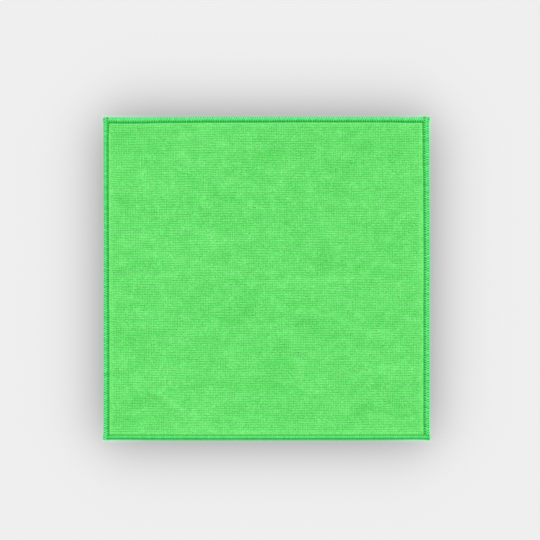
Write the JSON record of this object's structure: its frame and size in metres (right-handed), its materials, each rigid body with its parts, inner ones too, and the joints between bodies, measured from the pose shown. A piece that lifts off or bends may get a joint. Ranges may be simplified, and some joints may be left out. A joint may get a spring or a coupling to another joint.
{
  "type": "microfibre cloth",
  "caption": "Flat square knitted microfibre cloth with an overlocked thread edging round its sides, for wiping and cleaning.",
  "frame": {"origin": "middle of the underside, on the surface the cloth lies on", "axes": "+Z out of the face, +X across the cloth and +Y up it, as in the picture seen from above"},
  "size_m": [0.3016, 0.2985, 0.0027],
  "materials": {
    "microfibre": "matt knitted pile, bright green",
    "edging_thread": "soft textured thread with a slight sheen, bluer green"
  },
  "bodies": {
    "root": {"cloth": "microfibre", "overlock_top": "edging_thread", "overlock_right": "edging_thread", "overlock_bottom": "edging_thread", "overlock_left": "edging_thread"}
  },
  "joints": []
}
